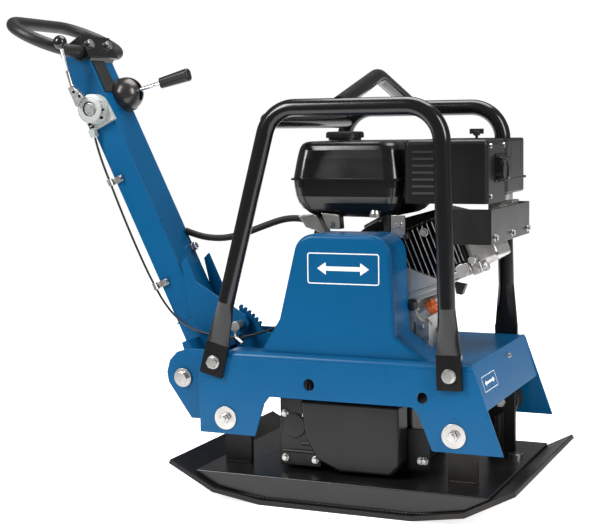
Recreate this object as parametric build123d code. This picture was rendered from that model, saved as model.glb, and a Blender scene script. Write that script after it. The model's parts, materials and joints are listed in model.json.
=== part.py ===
from build123d import *
import math
import os

# Reversible plate compactor, in millimetres.  +X is the working direction, +Z is up and
# the origin is the middle of the sole plate on the ground.  "Right" is the -Y side.

# ---- driving dimensions -------------------------------------------------------------
PLATE_LENGTH = 730.0
PLATE_WIDTH = 507.0
PLATE_THICK = 10.0
SOLE_FLAT = 160.0            # half length of the flat part of the sole
SOLE_BEND = 265.0            # half length at the second bend
SOLE_RISE = 16.3             # underside height at the second bend
LIP_TOP = 77.0               # top height of the raised lips
DECK_HALF_X = 309.4
DECK_HALF_Y = 238.4
DECK_TOP = 56.8

CONSOLE_HALF_Y = 206.6       # outside of the side plates
CONSOLE_TOP = 300.0
SHEET = 6.0
SIDE_TOP = 288.0             # side plates end here, the deck's rolled edge goes on
REAR_END = -314.0
NOTCH_FRONT = -190.0         # the deck starts here between its two side flanges
BUFFER_X = (-254.1, 231.7)
BUFFER_Z = 161.3

PIVOT_X = -367.5
PIVOT_Z = 233.1
EAR_IN = 165.0
EAR_OUT = 175.0

HOOP_Y = 218.0
HOOP_R = 17.0
HOOP_TOP = 791.0

BAR_LEAN = 64.3              # drawbar angle from the ground, degrees
BAR_DEPTH = 62.0
BAR_WIDTH = 100.0
BAR_WALL = 4.0
RING_CENTRE = (-747.0, 0.0, 960.5)
RING_TILT = 25.0
RING_HALF_X = 79.0           # half size of the loop's centre line, fore and aft
RING_HALF_Y = 156.0          # half size of the loop's centre line, across
RING_TUBE = 14.0

CRANK = (8.0, 440.0)         # crankshaft axis, x and z
CYL_LEAN = 22.0              # cylinder axis above the horizontal, degrees
SHAFT_Z = 132.0
SHAFT_FRONT_X = 45.0
SHAFT_REAR_X = -65.0
GEAR_TEETH = 22
GEAR_MODULE = 5.0
BELT_Y = -150.0
CLUTCH_PITCH_R = 58.0
PULLEY_PITCH_R = 52.0
RUN_FIT = 0.05               # radial clearance of a running fit
CABLE_D = 5.0
HOSE_D = 15.0

cos_bar = math.cos(math.radians(BAR_LEAN))
sin_bar = math.sin(math.radians(BAR_LEAN))
cos_cyl = math.cos(math.radians(CYL_LEAN))
sin_cyl = math.sin(math.radians(CYL_LEAN))
cos_ring = math.cos(math.radians(RING_TILT))
sin_ring = math.sin(math.radians(RING_TILT))


# ---- helpers ------------------------------------------------------------------------
def slab(points, y_low, y_high):
    """Prism with an XZ outline, between two Y planes."""
    outline = Polyline(*[(x, y_high, z) for x, z in points], close=True)
    return extrude(make_face(outline), amount=y_high - y_low, dir=(0, -1, 0))


def block(low, high):
    """Box between two corners."""
    size = [high[i] - low[i] for i in range(3)]
    middle = [(high[i] + low[i]) / 2 for i in range(3)]
    return Pos(*middle) * Box(*size)


def rod_y(x, z, radius, y_low, y_high):
    """Cylinder along Y."""
    return Pos(x, (y_low + y_high) / 2, z) * Rot(90, 0, 0) * Cylinder(radius, y_high - y_low)


def rod_x(y, z, radius, x_low, x_high):
    """Cylinder along X."""
    return Pos((x_low + x_high) / 2, y, z) * Rot(0, 90, 0) * Cylinder(radius, x_high - x_low)


def rod_z(x, y, radius, z_low, z_high):
    """Cylinder along Z."""
    return Pos(x, y, (z_low + z_high) / 2) * Cylinder(radius, z_high - z_low)


def rod_between(start, end, radius):
    """Cylinder from one point to another."""
    run = Line(start, end)
    return sweep(Plane(origin=start, z_dir=run % 0) * Circle(radius), path=run)


def hex_y(x, z, across, y_low, y_high):
    """Hexagon head or nut along Y."""
    plane = Plane(origin=(x, y_low, z), x_dir=(1, 0, 0), z_dir=(0, 1, 0))
    return extrude(plane * RegularPolygon(across / math.sqrt(3), 6), amount=y_high - y_low)


def swept(points, radii, radius, bore=0.0):
    """Round tube or bar along straight runs joined by arcs."""
    path = FilletPolyline(*points, radius=radii)
    section = Circle(radius) - Circle(bore) if bore else Circle(radius)
    return sweep(Plane(origin=points[0], z_dir=path % 0) * section, path=path)


def bar_point(along, out, y):
    """Point given along the drawbar from its pivot and outwards from its centre line."""
    x = PIVOT_X - along * cos_bar + out * sin_bar
    return (x, y, PIVOT_Z + along * sin_bar + out * cos_bar)


def bar_slab(points, y_low, y_high):
    """Prism whose outline is given in drawbar coordinates (along, out)."""
    outline = []
    for along, out in points:
        x, _, z = bar_point(along, out, 0)
        outline.append((x, z))
    return slab(outline, y_low, y_high)


def cyl_plane(along):
    """Plane square to the engine cylinder: x is +Y, y is up across the cylinder."""
    origin = (CRANK[0] + along * cos_cyl, -10.0, CRANK[1] + along * sin_cyl)
    return Plane(origin=origin, x_dir=(0, 1, 0), z_dir=(cos_cyl, 0, sin_cyl))


def both_sides(maker):
    """Make a piece at the right side and its mirror image at the left."""
    right = maker()
    return [right, mirror(right, about=Plane.XZ)]


def largest(shape):
    """The biggest solid of a shape, without the offcuts of a trim."""
    return max(shape.solids(), key=lambda solid: solid.volume)


nodes = {}


def keep(name, *shapes):
    """Store one node made of one or more separate solids."""
    solids = []
    for shape in shapes:
        solids.extend(shape.solids())
    nodes[name] = solids


# ---- base: sole plate and deck pan --------------------------------------------------
half = PLATE_LENGTH / 2
lip_under = LIP_TOP - PLATE_THICK * 0.9
sole_under = [(0, 0), (SOLE_FLAT, 0), (SOLE_BEND, SOLE_RISE), (half, lip_under)]
sole_over = [
    (half - 4.5, LIP_TOP),
    (SOLE_BEND - 3.5, SOLE_RISE + PLATE_THICK),
    (SOLE_FLAT - 1, PLATE_THICK),
    (0, PLATE_THICK),
]
right_half = sole_under[1:] + sole_over[:3]
left_half = [(-x, z) for x, z in reversed(right_half)]
sole = slab(right_half + left_half, -PLATE_WIDTH / 2, PLATE_WIDTH / 2)
keep("sole_plate", sole)


def deck_wall():
    outline = [
        (-DECK_HALF_X, DECK_TOP),
        (-DECK_HALF_X, 0),
        (DECK_HALF_X, 0),
        (DECK_HALF_X, DECK_TOP),
    ]
    return slab(outline, -DECK_HALF_Y, -DECK_HALF_Y + 8)


deck = block((-DECK_HALF_X, -DECK_HALF_Y, DECK_TOP - 8), (DECK_HALF_X, DECK_HALF_Y, DECK_TOP))
for wall in both_sides(deck_wall):
    deck += wall
for rib_x in (-150, 150):
    deck += block((rib_x - 4, -DECK_HALF_Y + 4, 5), (rib_x + 4, DECK_HALF_Y - 4, DECK_TOP - 4))
below_sole = slab(
    [(half, LIP_TOP), (SOLE_BEND, SOLE_RISE), (SOLE_FLAT, 0), (SOLE_FLAT, -5), (half, -5)], -300, 300
)
deck -= sole
deck -= block((-half, -300, -5), (half, 300, PLATE_THICK))
deck -= below_sole
deck -= mirror(below_sole, about=Plane.YZ)
keep("base_deck", deck)

# ---- buffers: posts welded to the deck, rubber-bonded mounts ------------------------
POST_HALF = 30.0
POST_FACE = 150.0
POST_THICK = 12.0
BUFFER_R = 33.0


def buffer_post(x):
    web = block((x - POST_HALF, -POST_FACE, DECK_TOP), (x + POST_HALF, -POST_FACE + POST_THICK, 176))
    top = rod_y(x, 176, POST_HALF, -POST_FACE, -POST_FACE + POST_THICK)
    gusset = slab(
        [(x - 5, DECK_TOP), (x + 5, DECK_TOP), (x + 5, 140), (x - 5, 140)],
        -POST_FACE + POST_THICK,
        -POST_FACE + POST_THICK + 34,
    )
    post = web + top + gusset
    return post - rod_y(x, BUFFER_Z, 8, -POST_FACE - 1, -POST_FACE + POST_THICK + 40)


def buffer_mount(x):
    inner = -CONSOLE_HALF_Y + SHEET
    body = rod_y(x, BUFFER_Z, BUFFER_R, inner, -POST_FACE)
    waist = rod_y(x, BUFFER_Z, BUFFER_R + 5, inner + 16, -POST_FACE - 16)
    waist -= rod_y(x, BUFFER_Z, BUFFER_R - 5, inner + 15, -POST_FACE - 15)
    return body - waist - rod_y(x, BUFFER_Z, 8, inner - 1, -POST_FACE + 1)


def buffer_bolt(x):
    outer = -CONSOLE_HALF_Y
    washer = rod_y(x, BUFFER_Z, 24.2, outer - 3, outer)
    nut = hex_y(x, BUFFER_Z, 19, outer - 13, outer - 3)
    stud = rod_y(x, BUFFER_Z, 6, outer - 17, -POST_FACE + POST_THICK + 8)
    inner_nut = hex_y(x, BUFFER_Z, 19, -POST_FACE + POST_THICK, -POST_FACE + POST_THICK + 8)
    return washer + nut + stud + inner_nut


posts, mounts, bolts = [], [], []
for x in BUFFER_X:
    posts += both_sides(lambda: buffer_post(x))
    mounts += both_sides(lambda: buffer_mount(x))
    bolts += both_sides(lambda: buffer_bolt(x))
keep("buffer_posts", *posts)
keep("rubber_buffers", *mounts)

# ---- console: folded deck with apron, side plates, ears, toothed sector --------------
side_outline = [
    (REAR_END, 128),
    (-189, 128),
    (-168, 196),
    (-156, 211),
    (146, 211),
    (160, 198),
    (188, 128),
    (328, 128),
    (270.3, SIDE_TOP),
    (-268, SIDE_TOP),
    (REAR_END, 262),
]


def side_plate():
    plate = slab(side_outline, -CONSOLE_HALF_Y, -CONSOLE_HALF_Y + SHEET)
    for x, z, radius in ((-69, 241, 12), (168, 230.5, 11)):
        plate -= rod_y(x, z, radius, -CONSOLE_HALF_Y - 1, -CONSOLE_HALF_Y + SHEET + 1)
    for x in BUFFER_X:
        plate -= rod_y(x, BUFFER_Z, 6.5, -CONSOLE_HALF_Y - 1, -CONSOLE_HALF_Y + SHEET + 1)
    return plate


right_plate, left_plate = both_sides(side_plate)
keep("side_plate_right", right_plate)
keep("side_plate_left", left_plate)

roll = 12.0
profile_outside = RectangleRounded(2 * CONSOLE_HALF_Y, 100, roll)
profile_inside = RectangleRounded(2 * (CONSOLE_HALF_Y - SHEET), 100 - 2 * SHEET, roll - SHEET)
profile = Plane.YZ * Pos(0, CONSOLE_TOP - 50) * (profile_outside - profile_inside)
console = Pos(REAR_END, 0, 0) * extrude(profile, amount=600, dir=(1, 0, 0))
console &= block((REAR_END, -300, SIDE_TOP), (270.3, 300, CONSOLE_TOP))
front_cut = slab([(266, 301), (270.8, SIDE_TOP - 1), (400, SIDE_TOP - 1), (400, 301)], -300, 300)
rear_cut = slab([(REAR_END - 1, 261), (-268, SIDE_TOP), (-248, 301), (REAR_END - 1, 301)], -300, 300)
console -= front_cut
console -= rear_cut
console -= block((REAR_END - 1, -150, 280), (NOTCH_FRONT, 150, 310))
BELT_SLOT = (-66.0, 106.0)
console -= block((BELT_SLOT[0], -178, 280), (BELT_SLOT[1], -122, 310))
console -= rod_z(-138, 122, 11, 280, 310)
apron_outline = [(266, 300), (259.5, 300), (289, 209), (295, 212.5)]
apron = slab(apron_outline, -CONSOLE_HALF_Y + SHEET, CONSOLE_HALF_Y - SHEET)
apron -= slab([(200, CONSOLE_TOP - SHEET), (262, CONSOLE_TOP - SHEET), (262, 301), (200, 301)], -300, 300)
keep("console_deck", console + apron)


def ear():
    outline = [(-331, 147.5), (-351, 147.5), (-404, 222), (-407, 243), (-400, 268), (-383, 286)]
    outline += [(-358, 294), (-270, 294), (-262, 282), (-262, 205)]
    plate = slab(outline, -EAR_OUT, -EAR_IN)
    plate -= rod_y(PIVOT_X, PIVOT_Z, 10, -EAR_OUT - 1, -EAR_IN + 1)
    web = block((-300, -CONSOLE_HALF_Y + SHEET, 215), (-292, -EAR_OUT, 280))
    return plate + web


SECTOR_R = 156.0
SECTOR_Y = (-40.0, -32.0)
sector_outline = [(-294, 246), (-258, 246), (-196, 292), (-196, 306), (-248, 318)]
for step in range(6):
    angle = math.radians(40 + step * 4.2)
    for offset, radius in ((0, SECTOR_R - 6), (0.9, SECTOR_R), (2.6, SECTOR_R), (3.4, SECTOR_R - 6)):
        turn = angle + math.radians(offset)
        sector_outline.append((PIVOT_X + radius * math.cos(turn), PIVOT_Z + radius * math.sin(turn)))
sector_outline += [(PIVOT_X + 70, 336), (-308, 292)]
sector = slab(sector_outline, *SECTOR_Y)
tie = rod_y(-276, 262, 12, -EAR_IN, EAR_IN)
keep("pivot_ears", *both_sides(ear), tie - sector)
keep("tooth_sector", sector)

# ---- protective hoops, lifting bow, rear cross tube ---------------------------------
REAR_FOOT = (-276.0, 277.0)
REAR_TOP = (-137.7, HOOP_TOP)
FRONT_TOP = (212.0, HOOP_TOP)
FRONT_FOOT = (225.0, 278.0)
FLAT_FROM = 130.0            # length of the flattened and blended leg end
FLAT_Y = -CONSOLE_HALF_Y - 5.0


def toward(start, end, distance):
    """Point at a distance from start on the way to end, in the XZ plane."""
    length = math.dist(start, end)
    return tuple(start[i] + (end[i] - start[i]) * distance / length for i in range(2))


def leg_end(foot, top):
    """Flattened leg end: a flat bar with a blend up to the round tube."""
    direction = (top[0] - foot[0], 0, top[1] - foot[1])
    tip = toward(foot, top, -28)
    flat_top = toward(foot, top, 40)
    round_at = toward(foot, top, FLAT_FROM)
    low = Plane(origin=(tip[0], FLAT_Y, tip[1]), x_dir=(0, 1, 0), z_dir=direction)
    mid = Plane(origin=(flat_top[0], FLAT_Y, flat_top[1]), x_dir=(0, 1, 0), z_dir=direction)
    high = Plane(origin=(round_at[0], -HOOP_Y, round_at[1]), x_dir=(0, 1, 0), z_dir=direction)
    flat = extrude(low * Rectangle(10, 50), amount=68)
    blend = loft([mid * RectangleRounded(10, 50, 4.9), high * Circle(HOOP_R)])
    bore = rod_y(foot[0], foot[1], 7, FLAT_Y - 10, FLAT_Y + 10)
    return flat + blend - bore


def hoop():
    rear = toward(REAR_FOOT, REAR_TOP, FLAT_FROM)
    front = toward(FRONT_FOOT, FRONT_TOP, FLAT_FROM)
    corners = [rear, REAR_TOP, FRONT_TOP, front]
    points = [(x, -HOOP_Y, z) for x, z in corners]
    tube = swept(points, [66, 70], HOOP_R, HOOP_R - 3)
    return tube + leg_end(REAR_FOOT, REAR_TOP) + leg_end(FRONT_FOOT, FRONT_TOP)


def hoop_core():
    """Solid envelope of a hoop, for coping the tubes that are welded to it."""
    rear = toward(REAR_FOOT, REAR_TOP, FLAT_FROM)
    front = toward(FRONT_FOOT, FRONT_TOP, FLAT_FROM)
    points = [(x, -HOOP_Y, z) for x, z in (rear, REAR_TOP, FRONT_TOP, front)]
    return swept(points, [66, 70], HOOP_R)


hoop_pair = both_sides(hoop)
core_pair = both_sides(hoop_core)
keep("hoop_right", hoop_pair[0])
keep("hoop_left", hoop_pair[1])

BOW_X = 8.0
BOW_R = 15.0
BOW_FOOT = HOOP_TOP + 6
bow_points = [(BOW_X, -HOOP_Y, BOW_FOOT), (BOW_X, 0, 858), (BOW_X, HOOP_Y, BOW_FOOT)]
bow = swept(bow_points, [70], BOW_R)
bow_bore = swept(bow_points, [70], BOW_R - 3)
cross_x, cross_z = toward(REAR_TOP, REAR_FOOT, 26)
cross = rod_y(cross_x, cross_z, HOOP_R - 1, -HOOP_Y, HOOP_Y) - rod_y(cross_x, cross_z, HOOP_R - 4, -300, 300)
bow -= bow_bore
for core in core_pair:
    bow -= core
    cross -= core
keep("lifting_bow", largest(bow))
keep("rear_cross_tube", largest(cross))


def hoop_bolt(foot):
    outer = FLAT_Y - 5
    head = hex_y(foot[0], foot[1], 21, outer - 10, outer - 2)
    washer = rod_y(foot[0], foot[1], 14, outer - 2, outer)
    shank = rod_y(foot[0], foot[1], 6, outer - 2, -CONSOLE_HALF_Y)
    return head + washer + shank


def pivot_bolt():
    head = rod_y(PIVOT_X, PIVOT_Z, 20, -EAR_OUT - 5, -EAR_OUT)
    hexagon = hex_y(PIVOT_X, PIVOT_Z, 24, -EAR_OUT - 14, -EAR_OUT - 5)
    pin = rod_y(PIVOT_X, PIVOT_Z, 10, -EAR_OUT, -EAR_IN + 35)
    return head + hexagon + pin


for foot in (REAR_FOOT, FRONT_FOOT):
    bolts += both_sides(lambda: hoop_bolt(foot))
bolts += both_sides(pivot_bolt)
for x in (-80, 100):
    for y in (-70, 50):
        bolts.append(rod_z(x, y, 9, 316, 323))
keep("frame_bolts", *bolts)

# ---- exciter: housing, covers, bearings, two geared shafts, pulley ------------------
CASE_X = (-136.0, 116.0)
CASE_Y = 112.0
CASE_Z = (DECK_TOP, 204.0)
case = block((CASE_X[0], -CASE_Y, CASE_Z[0]), (CASE_X[1], CASE_Y, CASE_Z[1]))
case = fillet(case.edges().filter_by(Axis.Y).group_by(Axis.Z)[-1], 24)
cavity = block((CASE_X[0] + 8, -CASE_Y + 22, 69), (CASE_X[1] - 8, CASE_Y - 22, CASE_Z[1] - 8))
case -= cavity
for x in (SHAFT_FRONT_X, SHAFT_REAR_X):
    case -= rod_y(x, SHAFT_Z, 36, -CASE_Y - 1, CASE_Y + 1)
keep("exciter_housing", case)

bearings = []
near_cover = block((CASE_X[0] + 12, -CASE_Y - 10, 78), (CASE_X[1] - 12, -CASE_Y, 186))
near_cover = fillet(near_cover.edges().filter_by(Axis.Y), 20)
far_cover = mirror(near_cover, about=Plane.XZ)
near_cover -= rod_y(SHAFT_FRONT_X, SHAFT_Z, 18, -CASE_Y - 11, -CASE_Y + 1)
for x in (SHAFT_FRONT_X, SHAFT_REAR_X):
    for y_low in (-CASE_Y + 2, CASE_Y - 22):
        ring = rod_y(x, SHAFT_Z, 36, y_low, y_low + 20)
        bearings.append(ring - rod_y(x, SHAFT_Z, 17.5 + RUN_FIT, y_low - 1, y_low + 21))
keep("exciter_covers", near_cover, far_cover)
keep("exciter_bearings", *bearings)


def gear(x, phase, y_low, y_high):
    """Spur gear around a Y axis, teeth as trapezia with backlash."""
    pitch_r = GEAR_TEETH * GEAR_MODULE / 2
    levels = ((pitch_r - 6, 0.30), (pitch_r, 0.205), (pitch_r + 4, 0.11))
    points = []
    for tooth in range(GEAR_TEETH):
        middle = (tooth + phase) * 2 * math.pi / GEAR_TEETH
        step = 2 * math.pi / GEAR_TEETH
        for radius, share in levels:
            points.append((radius, middle - share * step))
        for radius, share in reversed(levels):
            points.append((radius, middle + share * step))
    outline = [(x + r * math.cos(a), SHAFT_Z + r * math.sin(a)) for r, a in points]
    return slab(outline, y_low, y_high)


def eccentric(x, y_low, y_high):
    """Half-round unbalance weight, hanging down."""
    disc = rod_y(x, SHAFT_Z, 46, y_low, y_high)
    return disc - block((x - 60, y_low - 1, SHAFT_Z + 12), (x + 60, y_high + 1, SHAFT_Z + 60))


def exciter_shaft(x, phase, near_end):
    shaft = rod_y(x, SHAFT_Z, 17.5, near_end, CASE_Y - 1)
    shaft += eccentric(x, -64, -14)
    shaft += eccentric(x, -6, 40)
    return shaft + gear(x, phase, 56, 80)


keep("exciter_shaft_front", exciter_shaft(SHAFT_FRONT_X, 0.0, -170))
keep("exciter_shaft_rear", exciter_shaft(SHAFT_REAR_X, 0.5, -CASE_Y + 1))

pulley = rod_y(SHAFT_FRONT_X, SHAFT_Z, PULLEY_PITCH_R + 5, BELT_Y - 13, BELT_Y + 13)
groove = rod_y(SHAFT_FRONT_X, SHAFT_Z, PULLEY_PITCH_R + 9, BELT_Y - 7, BELT_Y + 7)
groove -= rod_y(SHAFT_FRONT_X, SHAFT_Z, PULLEY_PITCH_R - 8, BELT_Y - 8, BELT_Y + 8)
pulley -= groove
pulley -= rod_y(SHAFT_FRONT_X, SHAFT_Z, 17.5, -200, -100)
keep("exciter_pulley", pulley)

# ---- belt drive: belt, clutch drum, clutch hub, covers ------------------------------


def belt_hull(grow):
    """Filled outline of the belt round both pulleys, grown from the pitch line."""
    r1 = CLUTCH_PITCH_R + grow
    r2 = PULLEY_PITCH_R + grow
    dx = SHAFT_FRONT_X - CRANK[0]
    dz = SHAFT_Z - CRANK[1]
    span = math.hypot(dx, dz)
    heading = math.atan2(dz, dx)
    lean = math.acos((r1 - r2) / span)
    quad = []
    for centre, radius, sign in ((CRANK, r1, 1), ((SHAFT_FRONT_X, SHAFT_Z), r2, 1),
                                 ((SHAFT_FRONT_X, SHAFT_Z), r2, -1), (CRANK, r1, -1)):
        angle = heading + sign * lean
        quad.append((centre[0] + radius * math.cos(angle), centre[1] + radius * math.sin(angle)))
    shape = slab(quad, BELT_Y - 6.5, BELT_Y + 6.5)
    shape += rod_y(CRANK[0], CRANK[1], r1, BELT_Y - 6.5, BELT_Y + 6.5)
    return shape + rod_y(SHAFT_FRONT_X, SHAFT_Z, r2, BELT_Y - 6.5, BELT_Y + 6.5)


keep("v_belt", belt_hull(1.5) - belt_hull(-6.5))

drum = rod_y(*CRANK, CLUTCH_PITCH_R + 5, -176, -128)
drum_groove = rod_y(*CRANK, CLUTCH_PITCH_R + 9, BELT_Y - 7, BELT_Y + 7)
drum_groove -= rod_y(*CRANK, CLUTCH_PITCH_R - 8, BELT_Y - 8, BELT_Y + 8)
drum -= drum_groove
drum -= rod_y(*CRANK, 47, -177, -160)
drum -= rod_y(*CRANK, 12.5 + RUN_FIT, -200, -100)
keep("clutch_drum", drum)

hub = rod_y(*CRANK, 26, -175, -161)
shoes = rod_y(*CRANK, 44, -174, -162) - rod_y(*CRANK, 27, -175, -161)
for turn in range(3):
    cut = block((0, -180, -4), (60, -155, 4))
    shoes -= Pos(CRANK[0], 0, CRANK[1]) * Rot(0, 120 * turn + 20, 0) * cut
bore = rod_y(*CRANK, 12.5, -200, -100)
keep("clutch_hub", hub - bore, *shoes.solids())

COVER_Y = (-190.0, -98.0)
cover_outline = [(-182, 300), (-140, 368), (-97, 541), (98.5, 541), (108, 344), (172, 300)]
cover_inner = [(-177, 290), (-137, 366), (-94.5, 538), (95.5, 538), (105, 343), (160, 290)]


def rounded_cover(outline, y_low, y_high, round_top):
    shape = slab(outline, y_low, y_high)
    top_edges = shape.edges().filter_by(Axis.Y).group_by(Axis.Z)[-1]
    return fillet(top_edges, round_top)


cover = rounded_cover(cover_outline, *COVER_Y, 42)
front_face = cover.faces().sort_by(Axis.Y)[0]
cover = fillet(front_face.edges().filter_by(lambda e: e.center().Z > 310), 9)
cover -= rounded_cover(cover_inner, COVER_Y[0] + 3, COVER_Y[1] + 1, 39)
keep("belt_cover", cover)

GUARD_X = (-150.0, 113.0)
guard = block((GUARD_X[0], -186, 62), (GUARD_X[1], -124, 206))
guard = fillet(guard.edges().filter_by(Axis.Y).group_by(Axis.X)[-1], 16)
guard -= block((GUARD_X[0] + 3, -183, 65), (GUARD_X[1] - 3, -123, 210))
keep("lower_belt_guard", guard)

# ---- drawbar: tube, foot with cross tube and lock bracket, handle ------------------
ring_loop = Plane(
    origin=RING_CENTRE, x_dir=(cos_ring, 0, -sin_ring), z_dir=(sin_ring, 0, cos_ring)
) * RectangleRounded(2 * RING_HALF_X, 2 * RING_HALF_Y, RING_HALF_X - 1)
ring_wire = ring_loop.wires()[0]
ring_plane = Plane(origin=ring_wire @ 0, z_dir=ring_wire % 0)
ring_envelope = sweep(ring_plane * Circle(RING_TUBE), path=ring_wire)
ring = sweep(ring_plane * (Circle(RING_TUBE) - Circle(RING_TUBE - 3)), path=ring_wire)
keep("handle_ring", ring)

bar_end = [(26, -31), (26, 31), (738, 31), (780, -31)]
tube = bar_slab(bar_end, -BAR_WIDTH / 2, BAR_WIDTH / 2)
wall = BAR_WALL
core = [(20, -31 + wall), (20, 31 - wall), (800, 31 - wall), (800, -31 + wall)]
tube -= bar_slab(core, -BAR_WIDTH / 2 + wall, BAR_WIDTH / 2 - wall)
foot_tube = rod_y(PIVOT_X, PIVOT_Z, 32, -160, 160)
tube -= foot_tube
tube -= ring_envelope
tube = largest(tube)
keep("drawbar_tube", tube)

foot_tube -= rod_y(PIVOT_X, PIVOT_Z, 24, -124, 124)
foot_tube -= rod_y(PIVOT_X, PIVOT_Z, 10 + RUN_FIT, -200, -100)
foot_tube -= rod_y(PIVOT_X, PIVOT_Z, 10 + RUN_FIT, 100, 200)
LOCK = (-290.0, 331.0)
bracket_outline = [(-432, 462), (-420, 474), (-396, 420), (-279, 352), (-270, 334), (-281, 312)]
bracket_outline += [(-302, 306), (-352, 262), (-386, 262), (-400, 300)]
bracket = slab(bracket_outline, -56, -50)
bracket -= rod_y(*LOCK, 5 + RUN_FIT, -60, -45)
far_bracket = slab([(-432, 462), (-420, 474), (-352, 330), (-352, 262), (-386, 262)], 50, 56)
foot = foot_tube + bracket + far_bracket
for y in (-110, 110):
    low_y, high_y = (y, -56) if y < 0 else (56, y)
    flare = bar_slab([(28, -14), (28, 14), (72, 8), (72, -8)], low_y, high_y)
    foot += flare - rod_y(PIVOT_X, PIVOT_Z, 31, -160, 160)
keep("drawbar_foot", foot)

HOOD_OUT = 38.0              # inner face of the hood's front plate
HOOD_HALF = 62.0
HOOD_SHEET = 4.5
HOOD_BOLTS = (768.0, 38.0)   # along the drawbar, and each side of its middle
hood_front = [(737, HOOD_OUT), (790, HOOD_OUT), (790, HOOD_OUT + HOOD_SHEET), (737, HOOD_OUT + HOOD_SHEET)]
hood_wing = [(737, 16), (768, -6), (786, 4), (790, HOOD_OUT + HOOD_SHEET), (737, HOOD_OUT + HOOD_SHEET)]
hood = bar_slab(hood_front, -HOOD_HALF, HOOD_HALF)
hood += bar_slab([(730, 31), (738, 31), (745, HOOD_OUT), (737, HOOD_OUT)], -BAR_WIDTH / 2, BAR_WIDTH / 2)
hood += bar_slab([(737, 31), (745, 31), (745, HOOD_OUT), (737, HOOD_OUT)], -HOOD_HALF, HOOD_HALF)
for y in (-HOOD_HALF, HOOD_HALF - HOOD_SHEET):
    hood += bar_slab(hood_wing, y, y + HOOD_SHEET)
hood -= ring_envelope
hood -= tube
for y in (-HOOD_BOLTS[1], HOOD_BOLTS[1]):
    hood -= rod_between(bar_point(HOOD_BOLTS[0], 30, y), bar_point(HOOD_BOLTS[0], 50, y), 5)
keep("handle_bracket", largest(hood))

# ---- throttle: housing, lever, knob, clips, cable -----------------------------------
DISC_ALONG = 628.0
DISC_R = 33.0
disc_x, _, disc_z = bar_point(DISC_ALONG, 0, 0)
housing = rod_y(disc_x, disc_z, DISC_R, -76, -50)
housing += bar_slab([(586, -32), (586, 36), (622, 34), (640, -31)], -62, -50)
housing += bar_slab([(572, -33), (572, -20), (590, -18), (590, -33)], -70, -54)
keep("throttle_housing", housing)

LEVER_Y = -90.0
KNOB_AT = bar_point(768.7, 38.4, -150)
KNOB_R = 15.0
lever = rod_y(disc_x, disc_z, 31, -80, -76.4)
lever += rod_y(disc_x, disc_z, 13, -82, -80)
lever += bar_slab([(644, -22), (655, 5), (676, -3), (690, -10), (690, -22)], LEVER_Y - 4, -80)
lever_run = [bar_point(680, -14, LEVER_Y), bar_point(728, -2, -98), KNOB_AT]
lever += swept(lever_run, [22], 4)
keep("throttle_lever", lever)
knob = Pos(*KNOB_AT) * Sphere(KNOB_R)
keep("throttle_knob", knob - lever)

clips = []
for along, out in ((464, -37.5), (212, -39.4)):
    strap = bar_slab([(along - 7, -38), (along - 7, -8), (along + 7, -8), (along + 7, -38)], -56, -50)
    loop = rod_between(bar_point(along - 8, out, -62), bar_point(along + 8, out, -62), 7)
    hole = rod_between(bar_point(along - 20, out, -62), bar_point(along + 20, out, -62), CABLE_D / 2 + 1.2)
    clips.append(strap + loop - hole)
keep("cable_clips", *clips)

cable_bar = [(570.5, -27), (545, -32), (506, -36), (464, -37.8), (412, -40.5), (352, -42.3)]
cable_bar += [(290, -42.8), (240, -41.6), (205, -38.6)]
cable_points = [bar_point(along, out, -62) for along, out in cable_bar]
cable_points += [
    (-476, -64, 378),
    (-446, -67, 345),
    (-404, -70, 320),
    (-356, -72, 308),
    (-306, -73, 305),
    (-256, -76, 312),
    (-205, -80, 329),
    (-162, -82, 350),
    (-126, -82, 361),
    (-92, -82, 361),
]
hose_points = [
    (-473.2, 42, 524),
    (-450, 50, 514),
    (-422, 60, 507),
    (-386, 70, 506),
    (-345, 82, 516),
    (-300, 93, 534),
    (-252, 106, 551),
    (-208, 114, 550),
    (-174, 119, 528),
    (-153, 121, 492),
    (-144, 122, 448),
    (-140, 122, 398),
    (-138.5, 122, 346),
    (-138, 122, 300),
]


def arc_radii(points):
    """Largest tangent arc that each corner's two runs allow."""
    radii = []
    for before, here, after in zip(points, points[1:], points[2:]):
        run_in = Vector(*here) - Vector(*before)
        run_out = Vector(*after) - Vector(*here)
        turn = math.radians(run_in.get_angle(run_out))
        radii.append(0.45 * min(run_in.length, run_out.length) / math.tan(turn / 2))
    return radii


def route(name, points, diameter):
    """Flexible line as straight runs joined by tangent arcs."""
    radii = arc_radii(points)
    path = FilletPolyline(*points, radius=radii)
    print(name, "length", round(path.length, 1), "radii", [round(r) for r in radii])
    body = sweep(Plane(origin=points[0], z_dir=path % 0) * Circle(diameter / 2), path=path)
    expected = math.pi * diameter ** 2 / 4 * path.length
    print(name, "volume over section times length", round(body.volume / expected, 4))
    return body


keep("throttle_cable", route("throttle_cable", cable_points, CABLE_D))
hose = largest(route("hydraulic_hose", hose_points, HOSE_D) - tube)
keep("hydraulic_hose", hose)

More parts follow.
